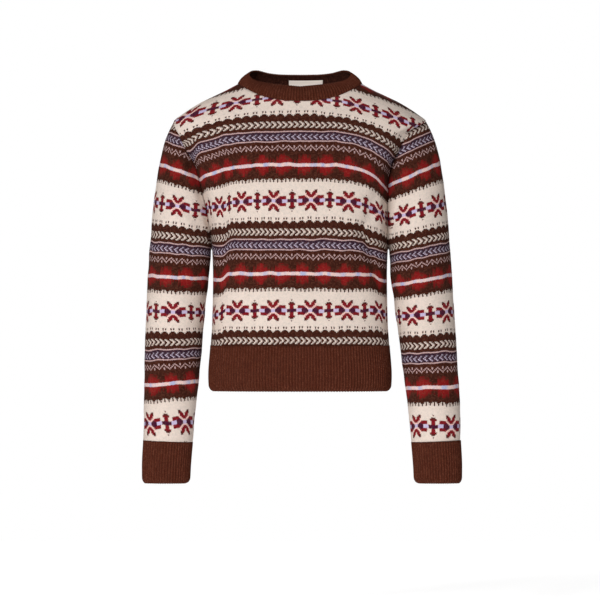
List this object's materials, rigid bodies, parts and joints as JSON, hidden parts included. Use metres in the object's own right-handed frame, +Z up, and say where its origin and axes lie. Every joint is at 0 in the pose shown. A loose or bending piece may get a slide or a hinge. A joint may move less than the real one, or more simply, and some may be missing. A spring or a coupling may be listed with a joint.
{
  "type": "fair isle jumper",
  "caption": "Crew neck jumper in stranded patterned knit with ribbed neckband, cuffs and deep hem welt, filled out as worn with no wearer.",
  "frame": {"origin": "middle of the neck, level with the points where the shoulder seams meet the neckband, where the wearer's neck and shoulders hold the jumper", "axes": "+X towards the wearer's left, -Y the way the front faces, +Z up"},
  "size_m": [0.5372, 0.1918, 0.695],
  "materials": {
    "fair_isle_knit": "stranded wool knit in cream, brown, red, burgundy, lilac and dark purple bands, soft matt with a light nap",
    "brown_rib": "1 by 1 ribbed wool, dark brown with a light fleck, matt",
    "woven_label": "plain beige woven tape, slight sheen, no lettering"
  },
  "bodies": {
    "root": {"front": "fair_isle_knit", "back": "fair_isle_knit", "sleeve_left": "fair_isle_knit", "sleeve_right": "fair_isle_knit", "neckband": "brown_rib", "welt_front": "brown_rib", "welt_back": "brown_rib", "cuff_left": "brown_rib", "cuff_right": "brown_rib", "label": "woven_label"}
  },
  "joints": []
}
